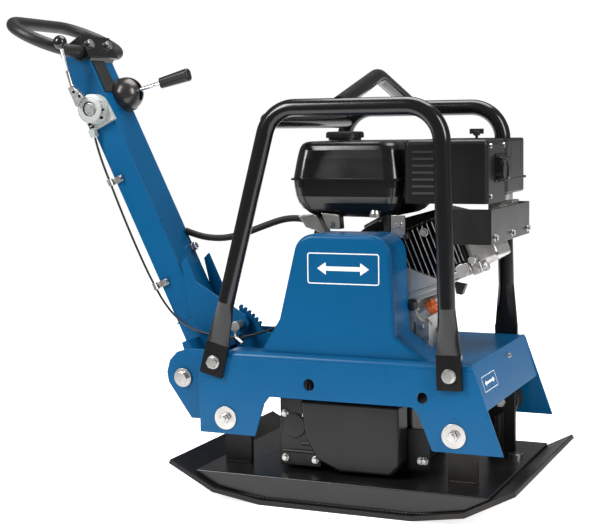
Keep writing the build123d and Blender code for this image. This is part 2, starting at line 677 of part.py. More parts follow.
# ---- travel control: dome and lever on the drawbar's front face ---------------------
DOME_ALONG = 645.0
DOME_Y = 28.0
DOME_R = 38.0
DOME_OUT = 43.0
dome_centre = bar_point(DOME_ALONG, DOME_OUT, DOME_Y)
face_normal = (sin_bar, 0, cos_bar)
base_start = bar_point(DOME_ALONG, 31, DOME_Y)
dome_base = rod_between(base_start, dome_centre, DOME_R + 2)
shell = Pos(*dome_centre) * (Sphere(DOME_R) - Sphere(DOME_R - 4))
half_space = Plane(origin=dome_centre, z_dir=face_normal) * Pos(0, 0, 50) * Box(100, 100, 100)
dome = dome_base + (shell & half_space)
SLOT_WIDTH = 13.0
lever_angle = math.radians(14)
lever_dir = (math.cos(lever_angle), 0, math.sin(lever_angle))
slot = Pos(*dome_centre) * Rot(0, BAR_LEAN - 90, 0) * Pos(40, 0, 0) * Box(60, SLOT_WIDTH, 56)
dome -= slot & (Plane(origin=dome_centre, z_dir=face_normal) * Pos(0, 0, 52) * Box(120, 120, 100))
dome -= rod_y(dome_centre[0], dome_centre[2], 11, DOME_Y - 15, DOME_Y + 15)
keep("travel_dome", dome)


def lever_point(distance):
    return tuple(dome_centre[i] + lever_dir[i] * distance for i in range(3))


hub = rod_y(dome_centre[0], dome_centre[2], 9, DOME_Y - 12, DOME_Y + 12)
keep("travel_lever", rod_between(lever_point(6), lever_point(132), 5) + hub)
grip_plane = Plane(origin=lever_point(92), x_dir=(0, 1, 0), z_dir=lever_dir)
grip = extrude(grip_plane * RectangleRounded(20, 24, 8), amount=74, taper=-2)
grip = fillet(grip.edges().group_by(lambda e: e.center().X)[-1], 5)
grip -= rod_between(lever_point(80), lever_point(132), 5)
keep("travel_grip", grip)

drawbar_bolts = []
for y in (-HOOD_BOLTS[1], HOOD_BOLTS[1]):
    face = bar_point(HOOD_BOLTS[0], HOOD_OUT + HOOD_SHEET, y)
    top = bar_point(HOOD_BOLTS[0], HOOD_OUT + HOOD_SHEET + 7, y)
    shank_end = bar_point(HOOD_BOLTS[0], HOOD_OUT, y)
    drawbar_bolts.append(rod_between(face, top, 10) + rod_between(shank_end, face, 5))
for along in (464, 212):
    drawbar_bolts.append(rod_y(bar_point(along, -14, 0)[0], bar_point(along, -14, 0)[2], 6, -62, -56))
keep("drawbar_bolts", *drawbar_bolts)

lock_pin = rod_y(*LOCK, 5, -60, -40.5) + rod_y(*LOCK, 11, -86, -56.5)
latch_run = [(LOCK[0], -80, LOCK[1]), (LOCK[0] + 2, -86, LOCK[1] - 22), (LOCK[0] + 20, -90, LOCK[1] - 34)]
lock_pin += swept(latch_run, [8], 3.5)
keep("lock_pin", lock_pin)

# ---- engine: crankcase, cylinder, crank train ---------------------------------------
ENGINE_Y = (-92.0, 72.0)
crankcase = rod_y(*CRANK, 92, *ENGINE_Y)
base_outline = [(-92, 300), (118, 300), (118, 392), (100, 412), (60, 440), (-60, 440), (-92, 400)]
crankcase += slab(base_outline, *ENGINE_Y)
crankcase -= block((-112, -62, 323), (-75, 42, 345))
crankcase -= rod_y(*CRANK, 80, ENGINE_Y[0] + 12, ENGINE_Y[1] - 12)
crankcase -= block((-74, ENGINE_Y[0] + 12, 326), (98, ENGINE_Y[1] - 12, 400))
barrel = extrude(cyl_plane(60) * Circle(52), amount=60)
crankcase -= barrel
crankcase -= rod_y(*CRANK, 17.5, -200, 200)
for x in (-80, 100):
    for y in (-70, 50):
        crankcase -= block((x - 14, y - 14, 316), (x + 19, y + 14, 330))
crankcase = largest(crankcase)
neck_dir = (0.87, 0, 0.5)
neck_base = (108.0, -72.0, 368.0)


def neck_point(distance):
    return tuple(neck_base[i] + neck_dir[i] * distance for i in range(3))


neck = rod_between(neck_point(2), neck_point(36), 15)
oil_cap = rod_between(neck_point(36.4), neck_point(52), 15)
crankcase += neck
keep("crankcase", crankcase)
keep("oil_cap", oil_cap)

FIN_FROM = 98.0
FIN_STEP = 11.0
cylinder = extrude(cyl_plane(62) * Circle(52), amount=120)
for index in range(8):
    fin = extrude(cyl_plane(FIN_FROM + index * FIN_STEP) * RectangleRounded(146, 132, 16), amount=2.6)
    cylinder += fin
head = extrude(cyl_plane(182) * RectangleRounded(138, 124, 12), amount=34)
for index in range(3):
    head -= extrude(cyl_plane(188 + index * 9) * RectangleRounded(150, 130, 10), amount=4) - extrude(
        cyl_plane(188 + index * 9) * RectangleRounded(104, 92, 10), amount=4
    )
cylinder += head
cylinder -= extrude(cyl_plane(50) * Circle(44), amount=134)
cylinder -= rod_y(*CRANK, 80.5, ENGINE_Y[0] + 12, ENGINE_Y[1] - 12)
cylinder -= crankcase
keep("cylinder_block", largest(cylinder))

cover_body = extrude(cyl_plane(216) * Pos(0, -6) * RectangleRounded(112, 108, 16), amount=58, taper=7)
cover_body = fillet(cover_body.faces().sort_by(Axis.X)[-1].edges(), 7)
cover_body -= extrude(cyl_plane(215) * Pos(0, -6) * RectangleRounded(100, 96, 12), amount=52, taper=7)
keep("valve_cover", cover_body)

shaft = rod_y(*CRANK, 12.5, -176, -104) + rod_y(*CRANK, 17.5, -104, -40)
shaft += rod_y(*CRANK, 17.5, 20, 100) + rod_y(*CRANK, 12, 100, 136)
THROW = 32.0
pin_x = CRANK[0] + THROW * cos_cyl
pin_z = CRANK[1] + THROW * sin_cyl
for y_low in (-40, 4):
    shaft += rod_y(*CRANK, 50, y_low, y_low + 16)
shaft += rod_y(pin_x, pin_z, 15, -24, 4)
keep("crankshaft", shaft)

rod_length = 112.0
wrist_x = pin_x + rod_length * cos_cyl
wrist_z = pin_z + rod_length * sin_cyl
big_end = rod_y(pin_x, pin_z, 23, -22, 2) - rod_y(pin_x, pin_z, 15, -30, 20)
small_end = rod_y(wrist_x, wrist_z, 14, -22, 2)
beam = rod_between((pin_x + 19 * cos_cyl, -10, pin_z + 19 * sin_cyl), (wrist_x, -10, wrist_z), 8)
keep("connecting_rod", big_end + small_end + beam - rod_y(wrist_x, wrist_z, 9, -30, 20))
piston_plane = Plane(origin=(wrist_x, -10, wrist_z), x_dir=(0, 1, 0), z_dir=(cos_cyl, 0, sin_cyl))
piston = extrude(piston_plane * Pos(0, 0, -26) * Circle(43.6), amount=50)
piston -= extrude(piston_plane * Pos(0, 0, -27) * Circle(38), amount=44)
piston += rod_y(wrist_x, wrist_z, 9, -52, 32)
keep("piston", piston & extrude(piston_plane * Pos(0, 0, -30) * Circle(43.6), amount=60))

# ---- engine: flywheel, blower, recoil starter ---------------------------------------
flywheel = rod_y(*CRANK, 98, 104, 132) - rod_y(*CRANK, 80, 112, 133) + rod_y(*CRANK, 26, 110, 134)
for blade in range(12):
    fin = block((70, 132, -2), (96, 148, 2))
    flywheel += Pos(CRANK[0], 0, CRANK[1]) * Rot(0, 30 * blade, 0) * fin
flywheel -= rod_y(*CRANK, 12, 90, 150)
keep("flywheel", flywheel)

blower_outline = [(10, 550), (120, 580), (212, 560), (196, 470), (110, 400), (60, 350)]
blower = rod_y(*CRANK, 112, 74, 162) + slab(blower_outline, 74, 162)
blower -= rod_y(*CRANK, 106, 76, 157)
blower -= slab([(10, 541), (120, 573), (205, 554), (190, 474), (110, 408), (60, 362)], 76, 157)
blower -= rod_y(*CRANK, 70, 150, 170)
blower -= rod_y(*CRANK, 19, 70, 80)
keep("blower_housing", blower)

recoil = rod_y(*CRANK, 92, 162, 186)
recoil = fillet(recoil.edges().group_by(Axis.Y)[-1], 10)
recoil -= rod_y(*CRANK, 86, 161, 181)
for slot_index in range(10):
    cut = block((48, 178, -5), (76, 190, 5))
    recoil -= Pos(CRANK[0], 0, CRANK[1]) * Rot(0, 36 * slot_index + 9, 0) * cut
recoil += block((-76, 164, 516), (-44, 186, 540)) - rod_y(*CRANK, 88, 160, 190)
keep("recoil_cover", largest(recoil))

PULL = (-0.25, 0.85, 0.4637)
grip_at = (-60.0, 191.0, 530.0)


def pull_point(distance, sideways=0.0):
    """Point along the starter rope, and square to it in the XZ plane."""
    level = math.hypot(PULL[0], PULL[2])
    square = (PULL[2] / level, 0.0, -PULL[0] / level)
    return tuple(grip_at[i] + PULL[i] * distance + square[i] * sideways for i in range(3))


stem = rod_between(pull_point(0), pull_point(16), 7)
keep("recoil_grip", stem + rod_between(pull_point(22, -40), pull_point(22, 40), 9.5))

# ---- engine: fuel tank and cap --------------------------------------------------------
TANK_Y = (-130.0, 172.0)
TANK_X = (-147.0, 100.0)
SEAM_Z = 648.0
CAP_AT = (-59.0, -20.0)
tank_plane = Plane(origin=((TANK_X[0] + TANK_X[1]) / 2, (TANK_Y[0] + TANK_Y[1]) / 2, SEAM_Z))
tank_x = TANK_X[1] - TANK_X[0] - 12
tank_y = TANK_Y[1] - TANK_Y[0] - 12
upper = extrude(tank_plane * RectangleRounded(tank_x, tank_y, 38), amount=74, taper=18)
upper = fillet(upper.faces().sort_by(Axis.Z)[-1].edges(), 10)
lower = extrude(tank_plane * RectangleRounded(tank_x, tank_y, 38), amount=-80, taper=12)
lower = fillet(lower.faces().sort_by(Axis.Z)[0].edges(), 14)
flange = tank_plane * extrude(RectangleRounded(tank_x + 12, tank_y + 12, 44), amount=3, both=True)
tank = upper + lower
hollow_up = extrude(tank_plane * RectangleRounded(tank_x - 6, tank_y - 6, 35), amount=70, taper=18)
hollow_low = extrude(tank_plane * RectangleRounded(tank_x - 6, tank_y - 6, 35), amount=-76, taper=12)
tank = tank + flange - hollow_up - hollow_low
tank += rod_z(*CAP_AT, 30, 718, 724)
tank -= rod_z(*CAP_AT, 26, 700, 730)
keep("fuel_tank", tank)

fuel_cap = rod_z(*CAP_AT, 40, 724.4, 743)
fuel_cap = fillet(fuel_cap.edges().group_by(Axis.Z)[-1], 4)
for lobe in range(12):
    turn = math.radians(30 * lobe)
    fuel_cap -= rod_z(CAP_AT[0] + 42 * math.cos(turn), CAP_AT[1] + 42 * math.sin(turn), 4.5, 720, 750)
keep("fuel_cap", fuel_cap)

# ---- engine: muffler and guard, heat shield, carburettor, air cleaner ----------------
MUFFLER_X = (104.0, 275.0)
MUFFLER_Y = (-122.0, 12.0)
MUFFLER_Z = (600.0, 725.0)
OUTLET = (-43.0, 663.0)


def inset(low, high, gap):
    return [v + gap for v in low], [v - gap for v in high]


guard_low = (MUFFLER_X[0], MUFFLER_Y[0], MUFFLER_Z[0])
guard_high = (MUFFLER_X[1], MUFFLER_Y[1], MUFFLER_Z[1])
muffler_guard = block(guard_low, guard_high)
muffler_guard = fillet(muffler_guard.edges().filter_by(Axis.Y).group_by(Axis.Z)[-1], 22)
hollow = block(*inset(guard_low, guard_high, 2.0))
hollow = fillet(hollow.edges().filter_by(Axis.Y).group_by(Axis.Z)[-1], 20)
muffler_guard -= hollow
for index, z in enumerate((617, 629, 641, 653, 665, 677, 689)):
    muffler_guard -= block((118, -130, z), (160, -115, z + 4.5))
muffler_guard -= rod_x(*OUTLET, 26, 260, 290)
keep("muffler_guard", muffler_guard)
muffler = block((116, -110, 611), (262, 0, 713))
muffler = fillet(muffler.edges().filter_by(Axis.Y), 26)
muffler += rod_x(*OUTLET, 22, 255, 291)
muffler -= rod_x(*OUTLET, 19, 266, 300)
muffler -= block((120, -106, 630), (258, -4, 694))
keep("muffler", muffler)

SHIELD_Z = (521.0, 590.0)
shield = block((203, -121, SHIELD_Z[0]), (282, 181, SHIELD_Z[1]))
shield -= block((190, -119, SHIELD_Z[0] - 1), (280, 179, SHIELD_Z[1] + 1))
shield -= block((190, 170, SHIELD_Z[0] - 1), (240, 190, SHIELD_Z[1] + 1))
shield = fillet(shield.edges().filter_by(Axis.Z).sort_by(Axis.X)[-1:], 1.5)
keep("heat_shield", shield)

carb = block((216, 92, 548), (268, 148, 596)) + rod_z(242, 120, 19, 596, 612)
carb += rod_y(242, 572, 17, 60, 92)
keep("carburettor", carb - rod_z(242, 120, 12, 560, 620))
choke = rod_y(242, 560, 8, 148.4, 153) + block((238, 149, 560), (246, 152, 594))
keep("choke_lever", choke)

CLEANER_LOW = (105.0, 18.0, 612.0)
CLEANER_HIGH = (273.0, 186.0, 730.0)
cleaner = block(CLEANER_LOW, CLEANER_HIGH)
cleaner = fillet(cleaner.edges().filter_by(Axis.Z), 24)
cleaner = fillet(cleaner.faces().sort_by(Axis.Z)[-1].edges(), 12)
cleaner_hollow = block(*inset(CLEANER_LOW, CLEANER_HIGH, 3.0))
cleaner_hollow = fillet(cleaner_hollow.edges().filter_by(Axis.Z), 21)
cleaner -= cleaner_hollow
NUT_AT = (189.0, 102.0)
cleaner -= rod_z(*NUT_AT, 3.1, 720, 740)
keep("air_cleaner", largest(cleaner))
wing_nut = rod_z(*NUT_AT, 7, 730.4, 740)
wing_nut += block((NUT_AT[0] - 15, NUT_AT[1] - 2, 734), (NUT_AT[0] + 15, NUT_AT[1] + 2, 745))
keep("wing_nut", wing_nut + rod_z(*NUT_AT, 3, 718, 731))

# ---- write ---------------------------------------------------------------------------
os.makedirs("parts", exist_ok=True)
for name, solids in nodes.items():
    shape = solids[0] if len(solids) == 1 else Compound(solids)
    export_step(shape, f"parts/{name}.step")
print(len(nodes), "nodes")
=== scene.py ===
import json
import math

import bmesh
import bpy
from mathutils import Matrix, Vector


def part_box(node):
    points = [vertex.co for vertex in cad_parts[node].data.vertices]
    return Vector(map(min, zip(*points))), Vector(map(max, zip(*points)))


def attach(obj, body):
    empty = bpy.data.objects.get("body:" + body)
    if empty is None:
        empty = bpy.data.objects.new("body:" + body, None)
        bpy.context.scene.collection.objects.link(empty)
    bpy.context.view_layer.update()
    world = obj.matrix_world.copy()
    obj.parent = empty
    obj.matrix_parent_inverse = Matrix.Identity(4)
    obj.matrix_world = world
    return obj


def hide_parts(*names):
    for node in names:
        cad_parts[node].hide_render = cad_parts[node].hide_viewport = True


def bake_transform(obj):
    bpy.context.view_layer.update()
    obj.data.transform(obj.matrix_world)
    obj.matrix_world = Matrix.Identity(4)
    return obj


MM = 0.001
X_AXIS, Y_AXIS, Z_AXIS = Vector((1, 0, 0)), Vector((0, 1, 0)), Vector((0, 0, 1))

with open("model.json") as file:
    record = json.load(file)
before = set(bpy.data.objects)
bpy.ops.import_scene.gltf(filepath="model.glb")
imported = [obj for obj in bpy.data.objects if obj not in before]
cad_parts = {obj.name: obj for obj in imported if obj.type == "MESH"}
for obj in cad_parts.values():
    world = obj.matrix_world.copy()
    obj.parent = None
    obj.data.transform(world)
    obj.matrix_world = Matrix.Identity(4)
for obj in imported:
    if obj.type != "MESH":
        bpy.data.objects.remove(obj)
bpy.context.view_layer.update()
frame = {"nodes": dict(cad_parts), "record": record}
cad = frame["nodes"]
bodies = frame["record"]["behaviour"]["bodies"]
home = {node: body for body, names in bodies.items() for node in names}

# ---- studio ---------------------------------------------------------------------------
# A plain pale floor and a white background, three large soft boxes, and a long lens that
# looks slightly down at the machine's belt side from its front quarter.  The background is
# white to the camera and dimmer as a light, and the floor glows so that it stays white.
eye = Vector((0.9793, -2.6489, 0.7521))
azimuth = math.radians(23.44)
elevation = math.radians(5.11)
roll = math.radians(-0.77)
level_reach = math.cos(elevation)
backward = Vector((math.sin(azimuth) * level_reach, -math.cos(azimuth) * level_reach,
                   math.sin(elevation)))
level_right = (-backward).cross(Z_AXIS).normalized()
level_up = backward.cross(level_right).normalized()
right = math.cos(roll) * level_right + math.sin(roll) * level_up
up = -math.sin(roll) * level_right + math.cos(roll) * level_up
camera_data = bpy.data.cameras.new("camera")
camera_data.sensor_width = 36.0
camera_data.lens = 81.14
camera_data.shift_x = -0.0028
camera_data.shift_y = -0.0276
camera_data.clip_end = 50.0
camera = bpy.data.objects.new("camera", camera_data)
facing = Matrix((right, up, backward)).transposed().to_4x4()
camera.matrix_world = Matrix.Translation(eye) @ facing
bpy.context.scene.collection.objects.link(camera)
bpy.context.scene.camera = camera


def soft_box(name, place, target, size, power):
    data = bpy.data.lights.new(name, "AREA")
    data.shape = "RECTANGLE"
    data.size, data.size_y = size
    data.energy = power
    lamp = bpy.data.objects.new(name, data)
    lamp.location = place
    lamp.rotation_euler = (Vector(target) - Vector(place)).to_track_quat("-Z", "Y").to_euler()
    bpy.context.scene.collection.objects.link(lamp)


soft_box("key_light", (-1.9, -2.4, 2.4), (0, 0, 0.4), (1.0, 1.8), 105)
soft_box("front_light", (2.4, -1.0, 1.9), (0, 0, 0.4), (0.7, 1.8), 58)
soft_box("top_light", (0.0, 0.6, 3.0), (0, 0, 0.4), (2.0, 1.6), 70)

world = bpy.data.worlds.new("studio")
bpy.context.scene.world = world
world.use_nodes = True
ROOM_LIGHT = 0.2
sky = world.node_tree.nodes["Background"]
sky.inputs["Color"].default_value = (1.0, 1.0, 1.0, 1)
seen = world.node_tree.nodes.new("ShaderNodeLightPath")
strength = world.node_tree.nodes.new("ShaderNodeMapRange")
strength.inputs["To Min"].default_value = ROOM_LIGHT
strength.inputs["To Max"].default_value = 1.0
world.node_tree.links.new(seen.outputs["Is Camera Ray"], strength.inputs["Value"])
world.node_tree.links.new(strength.outputs["Result"], sky.inputs["Strength"])
bpy.context.scene.view_settings.view_transform = "Standard"

FLOOR_REACH = 6.0
bm = bmesh.new()
bmesh.ops.create_grid(bm, x_segments=1, y_segments=1, size=FLOOR_REACH)
bmesh.ops.translate(bm, verts=bm.verts, vec=(0, FLOOR_REACH - 1.1, 0))
floor_mesh = bpy.data.meshes.new("floor")
bm.to_mesh(floor_mesh)
bm.free()
floor = bpy.data.objects.new("floor", floor_mesh)
bpy.context.scene.collection.objects.link(floor)
floor_paint = bpy.data.materials.new("floor_paint")
floor_paint.use_nodes = True
floor_shader = floor_paint.node_tree.nodes["Principled BSDF"]
floor_shader.inputs["Base Color"].default_value = (0.97, 0.97, 0.97, 1)
floor_shader.inputs["Roughness"].default_value = 0.9
floor_shader.inputs["Emission Color"].default_value = (1, 1, 1, 1)
floor_shader.inputs["Emission Strength"].default_value = 0.8
floor_mesh.materials.append(floor_paint)

# ---- sole plate -------------------------------------------------------------------------
# Ten millimetre steel plate with both ends bent up to lips, painted black.  Its flame-cut
# edges are eased, and dust and scuffs from the ground dull the paint.


def finish(name, colour, rough, metal=0.0, drift=(4.0, 0.12), grain=(700.0, 0.04), coat=0.0,
           specular=0.5, patch=None, rough_drift=0.08):
    """Shader with drifting colour and roughness and a fine surface grain."""
    made = bpy.data.materials.new(name)
    made.use_nodes = True
    tree = made.node_tree
    shader = tree.nodes["Principled BSDF"]
    where = tree.nodes.new("ShaderNodeTexCoord").outputs["Object"]

    def noise(scale, detail):
        node = tree.nodes.new("ShaderNodeTexNoise")
        node.inputs["Scale"].default_value = scale
        node.inputs["Detail"].default_value = detail
        tree.links.new(where, node.inputs["Vector"])
        return node.outputs["Fac"]

    body = tree.nodes.new("ShaderNodeValToRGB")
    body.color_ramp.elements[0].position = 0.3
    body.color_ramp.elements[1].position = 0.7
    body.color_ramp.elements[0].color = (*[c * (1 - drift[1]) for c in colour], 1)
    body.color_ramp.elements[1].color = (*[c * (1 + drift[1]) for c in colour], 1)
    tree.links.new(noise(drift[0], 3.0), body.inputs["Fac"])
    colour_out = body.outputs["Color"]
    if patch:
        patch_colour, patch_scale, patch_share = patch
        spread = tree.nodes.new("ShaderNodeMapRange")
        spread.inputs["From Min"].default_value = 1.0 - patch_share
        spread.inputs["From Max"].default_value = 1.2 - patch_share
        tree.links.new(noise(patch_scale, 6.0), spread.inputs["Value"])
        mix = tree.nodes.new("ShaderNodeMix")
        mix.data_type = "RGBA"
        tree.links.new(spread.outputs["Result"], mix.inputs[0])
        tree.links.new(colour_out, mix.inputs[6])
        mix.inputs[7].default_value = (*patch_colour, 1)
        colour_out = mix.outputs[2]
    tree.links.new(colour_out, shader.inputs["Base Color"])
    gloss = tree.nodes.new("ShaderNodeMapRange")
    gloss.inputs["To Min"].default_value = max(0.02, rough - rough_drift)
    gloss.inputs["To Max"].default_value = min(1.0, rough + rough_drift)
    tree.links.new(noise(drift[0] * 5, 5.0), gloss.inputs["Value"])
    tree.links.new(gloss.outputs["Result"], shader.inputs["Roughness"])
    shader.inputs["Metallic"].default_value = metal
    shader.inputs["Specular IOR Level"].default_value = specular
    shader.inputs["Coat Weight"].default_value = coat
    shader.inputs["Coat Roughness"].default_value = 0.12
    bump = tree.nodes.new("ShaderNodeBump")
    bump.inputs["Strength"].default_value = grain[1]
    bump.inputs["Distance"].default_value = 0.001
    tree.links.new(noise(grain[0], 2.0), bump.inputs["Height"])
    tree.links.new(bump.outputs["Normal"], shader.inputs["Normal"])
    return made


def show(name, bm, paint, body, sharp=35.0):
    """Link a finished mesh in its paint and make it ride on its body."""
    mesh = bpy.data.meshes.new(name)
    bm.to_mesh(mesh)
    bm.free()
    mesh.materials.append(paint)
    mesh.polygons.foreach_set("use_smooth", [True] * len(mesh.polygons))
    mesh.set_sharp_from_angle(angle=math.radians(sharp))
    made = bpy.data.objects.new(name, mesh)
    bpy.context.scene.collection.objects.link(made)
    weights = made.modifiers.new("flat_faces", "WEIGHTED_NORMAL")
    weights.keep_sharp = True
    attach(made, body)
    return made


def ease(bm, width, segments=2, sharp=28.0):
    """Round every sharp edge of a mesh."""
    limit = math.radians(sharp)
    edges = [edge for edge in bm.edges if edge.is_manifold and edge.calc_face_angle() > limit]
    bmesh.ops.bevel(bm, geom=edges, offset=width * MM, offset_type="OFFSET", segments=segments,
                    profile=0.5, affect="EDGES", clamp_overlap=False, material=-1)


def rounded(node, width, paint, segments=2, sharp=28.0):
    """Copy of a CAD node with eased edges, which stands for that node."""
    bm = bmesh.new()
    bm.from_mesh(cad[node].data)
    bmesh.ops.remove_doubles(bm, verts=bm.verts, dist=0.004 * MM)
    bmesh.ops.dissolve_limit(bm, angle_limit=math.radians(0.5), verts=bm.verts, edges=bm.edges)
    ease(bm, width, segments, sharp)
    made = show(node + "_finished", bm, paint, home[node])
    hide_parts(node)


base_black = finish("base_black", (0.007, 0.0065, 0.006), 0.42, grain=(220.0, 0.22), drift=(9.0, 0.3),
                    specular=0.3, patch=((0.03, 0.024, 0.018), 5.0, 0.45))
rounded("sole_plate", 1.6, base_black, segments=3)

# ---- deck pan ---------------------------------------------------------------------------
# A flat pan of eight millimetre plate folded down at both sides, seam-welded to the sole
# all round its foot, with two threaded nut rings for transport welded on top.


def place(x, y, z):
    """A point given in millimetres."""
    return Vector((x, y, z)) * MM


def turned(bm, base, axis, profile, segments=32):
    """Round part on an axis, from (distance, radius) steps in millimetres."""
    pose = Matrix.Translation(base) @ Vector(axis).to_track_quat("Z", "Y").to_matrix().to_4x4()
    along, radius = profile[0]
    start = pose @ Matrix.Translation((0, 0, along * MM))
    ring = bmesh.ops.create_circle(bm, cap_ends=True, radius=radius * MM, segments=segments,
                                   matrix=start)
    face = ring["verts"][0].link_faces[0]
    made = list(ring["verts"])
    for next_along, next_radius in profile[1:]:
        top = bmesh.ops.extrude_face_region(bm, geom=[face])["geom"]
        face = next(item for item in top if isinstance(item, bmesh.types.BMFace))
        corners = list(face.verts)
        step = pose.to_3x3() @ Vector((0, 0, (next_along - along) * MM))
        bmesh.ops.translate(bm, verts=corners, vec=step)
        centre = Matrix.Translation(-(pose @ Vector((0, 0, next_along * MM))))
        scale = next_radius / radius
        bmesh.ops.scale(bm, vec=(scale, scale, scale), space=centre, verts=corners)
        made += corners
        along, radius = next_along, next_radius
    bmesh.ops.recalc_face_normals(bm, faces=list({f for v in made for f in v.link_faces}))


def weld(name, runs, size, paint, body):
    """Weld beads: a thick line with even ripples along each run of points."""
    bm = bmesh.new()
    for start, end in runs:
        start, end = place(*start), place(*end)
        length = (end - start).length / MM
        ripples = max(3, round(length / (0.9 * size)))
        profile = []
        for index in range(ripples + 1):
            swell = size if index % 2 else size * 0.8
            end_fade = 0.45 if index in (0, ripples) else 1.0
            profile.append((length * index / ripples, swell * end_fade))
        turned(bm, start, end - start, profile, segments=8)
    show(name, bm, paint, body, sharp=70.0)


deck_black = finish("deck_black", (0.0075, 0.0075, 0.008), 0.3, grain=(180.0, 0.14), drift=(7.0, 0.25),
                    specular=0.4, coat=0.1, patch=((0.02, 0.017, 0.014), 6.0, 0.42))
rounded("base_deck", 3.2, deck_black, segments=4)
deck_low, deck_high = [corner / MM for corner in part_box("base_deck")]
WELD_Z = 11.5
WELD_RISE = 8
END_WELD_Z = 40
deck_runs = []
for side in (-1, 1):
    y = side * (deck_high.y + 1.0)
    deck_runs.append(((-262, y, WELD_Z + WELD_RISE), (-150, y, WELD_Z)))
    deck_runs.append(((-150, y, WELD_Z), (150, y, WELD_Z)))
    deck_runs.append(((150, y, WELD_Z), (262, y, WELD_Z + WELD_RISE)))
    y_in = side * (deck_high.y - 3)
    deck_runs.append(((deck_low.x + 2, y_in, END_WELD_Z), (deck_low.x + 2, side * 20, END_WELD_Z)))
    deck_runs.append(((deck_high.x - 2, y_in, END_WELD_Z), (deck_high.x - 2, side * 20, END_WELD_Z)))
weld("deck_welds", deck_runs, 3.2, deck_black, "root")
zinc = finish("zinc", (0.55, 0.54, 0.52), 0.3, metal=1.0, grain=(900.0, 0.08), drift=(30.0, 0.14))
bm = bmesh.new()
for x, y in ((-276, -90), (276, 90)):
    turned(bm, place(x, y, deck_high.z), Z_AXIS, [(0, 15), (7, 15), (8, 14), (8, 8), (2, 8)])
show("transport_nuts", bm, zinc, "root")

# ---- buffer posts and rubber buffers ------------------------------------------------------
# Four upright plates with round heads are welded to the deck.  A rubber bush bonded to
# each one carries the console.
rounded("buffer_posts", 1.2, base_black)
soft_black = finish("soft_black", (0.012, 0.012, 0.0125), 0.55, grain=(900.0, 0.12), specular=0.35)
rounded("rubber_buffers", 1.5, soft_black)
BUFFER_XS = (-254.1, 231.7)
BUFFER_Z = 161.3
POST_HALF = 29
post_runs = []
for x in BUFFER_XS:
    for side in (-1, 1):
        y = side * 151.5
        post_runs.append(((x - POST_HALF, y, deck_high.z + 1), (x + POST_HALF, y, deck_high.z + 1)))
weld("post_welds", post_runs, 3.0, base_black, "root")

# ---- exciter ------------------------------------------------------------------------------
# Cast iron housing with bolted end covers, and two geared shafts with half-round weights
# inside it.  A pressed guard closes the belt drive below the console.


def bolt_head(bm, base, axis, across, height, washer=0.0):
    """Hexagon head with a chamfered top, on a washer."""
    under = 0.0
    if washer:
        turned(bm, base, axis, [(0, washer), (1.6, washer), (2.0, washer - 0.5)])
        under = 2.0
    radius = across / math.sqrt(3)
    seat = Vector(base) + Vector(axis).normalized() * under * MM
    turned(bm, seat, axis, [(0, radius), (height - 1.2, radius), (height, radius * 0.86)], segments=6)


def panel(bm, outline, thick):
    """Flat sheet cut to an outline of points and given a thickness vector."""
    face = bm.faces.new([bm.verts.new(point) for point in outline])
    grown = bmesh.ops.extrude_face_region(bm, geom=[face])["geom"]
    corners = [item for item in grown if isinstance(item, bmesh.types.BMVert)]
    bmesh.ops.translate(bm, verts=corners, vec=thick)
    made = list({f for v in corners for e in v.link_edges for f in e.link_faces}) + [face]
    bmesh.ops.recalc_face_normals(bm, faces=list(set(made)))


def block(bm, low, high, pose=Matrix.Identity(4)):
    """Box between two corners, which may be posed."""
    low, high = place(*low), place(*high)
    size = Matrix.Diagonal((*(high - low), 1.0))
    bmesh.ops.create_cube(bm, size=1.0, matrix=pose @ Matrix.Translation((low + high) / 2) @ size)


rounded("exciter_housing", 2.5, base_black)
rounded("exciter_covers", 2.0, base_black)


def recoat(node, paint):
    """Give a CAD node that is shown as it is its own paint."""
    cad[node].data.materials.clear()
    cad[node].data.materials.append(paint)


machined = finish("machined", (0.42, 0.42, 0.43), 0.35, metal=1.0, grain=(600.0, 0.1))
for node in ("exciter_bearings", "exciter_shaft_front", "exciter_shaft_rear", "exciter_pulley",
             "flywheel", "crankshaft", "connecting_rod", "piston", "clutch_drum", "clutch_hub"):
    recoat(node, machined)
bm = bmesh.new()
for y, axis in ((-122, -Y_AXIS), (122, Y_AXIS)):
    for x in (-112, -10, 92):
        for z in (88, 176):
            bolt_head(bm, place(x, y, z), axis, 13, 7, washer=10)
show("exciter_bolts", bm, zinc, "root")
guard_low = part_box("lower_belt_guard")[0] / MM
guard_black = finish("guard_black", (0.009, 0.009, 0.0095), 0.4, grain=(260.0, 0.12), specular=0.35,
                     patch=((0.016, 0.014, 0.012), 9.0, 0.42))
bm = bmesh.new()
guard_outline = [(-98, 205), (-88, 130), (-62, 84), (-14, 64), (96, 64), (112, 84), (112, 205)]
panel(bm, [place(x, guard_low.y, z) for x, z in guard_outline], place(0, 60, 0))
ease(bm, 7.0, segments=4)
show("belt_guard_shell", bm, guard_black, "root")
bm = bmesh.new()
block(bm, (guard_low.x, -168, 64), (-60, -124, 205))
block(bm, (guard_low.x + 4, -173, 92), (-62, -160, 99))
ease(bm, 4.0, segments=3)
turned(bm, place(-118, -166, 148), -Y_AXIS, [(0, 27), (5, 25), (6, 23), (6.5, 8)], segments=40)
turned(bm, place(-104, -167, 112), X_AXIS, [(0, 3), (2, 4.5), (24, 4.5), (26, 3)], segments=16)
gearcase = show("belt_guard_casting", bm, guard_black, "root")
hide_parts("lower_belt_guard")
bm = bmesh.new()
for x, z in ((-138, 172), (-92, 172), (-138, 80), (-72, 80)):
    bolt_head(bm, place(x, -168, z), -Y_AXIS, 11, 6, washer=8)
for x in (138, 146):
    bolt_head(bm, place(x, -124, 86), -Y_AXIS, 11, 6, washer=8)
show("belt_guard_bolts", bm, zinc, "root")
bm = bmesh.new()
block(bm, (110, -124, 64), (156, -118, 150))
ease(bm, 1.2)
show("belt_guard_bracket", bm, guard_black, "root")

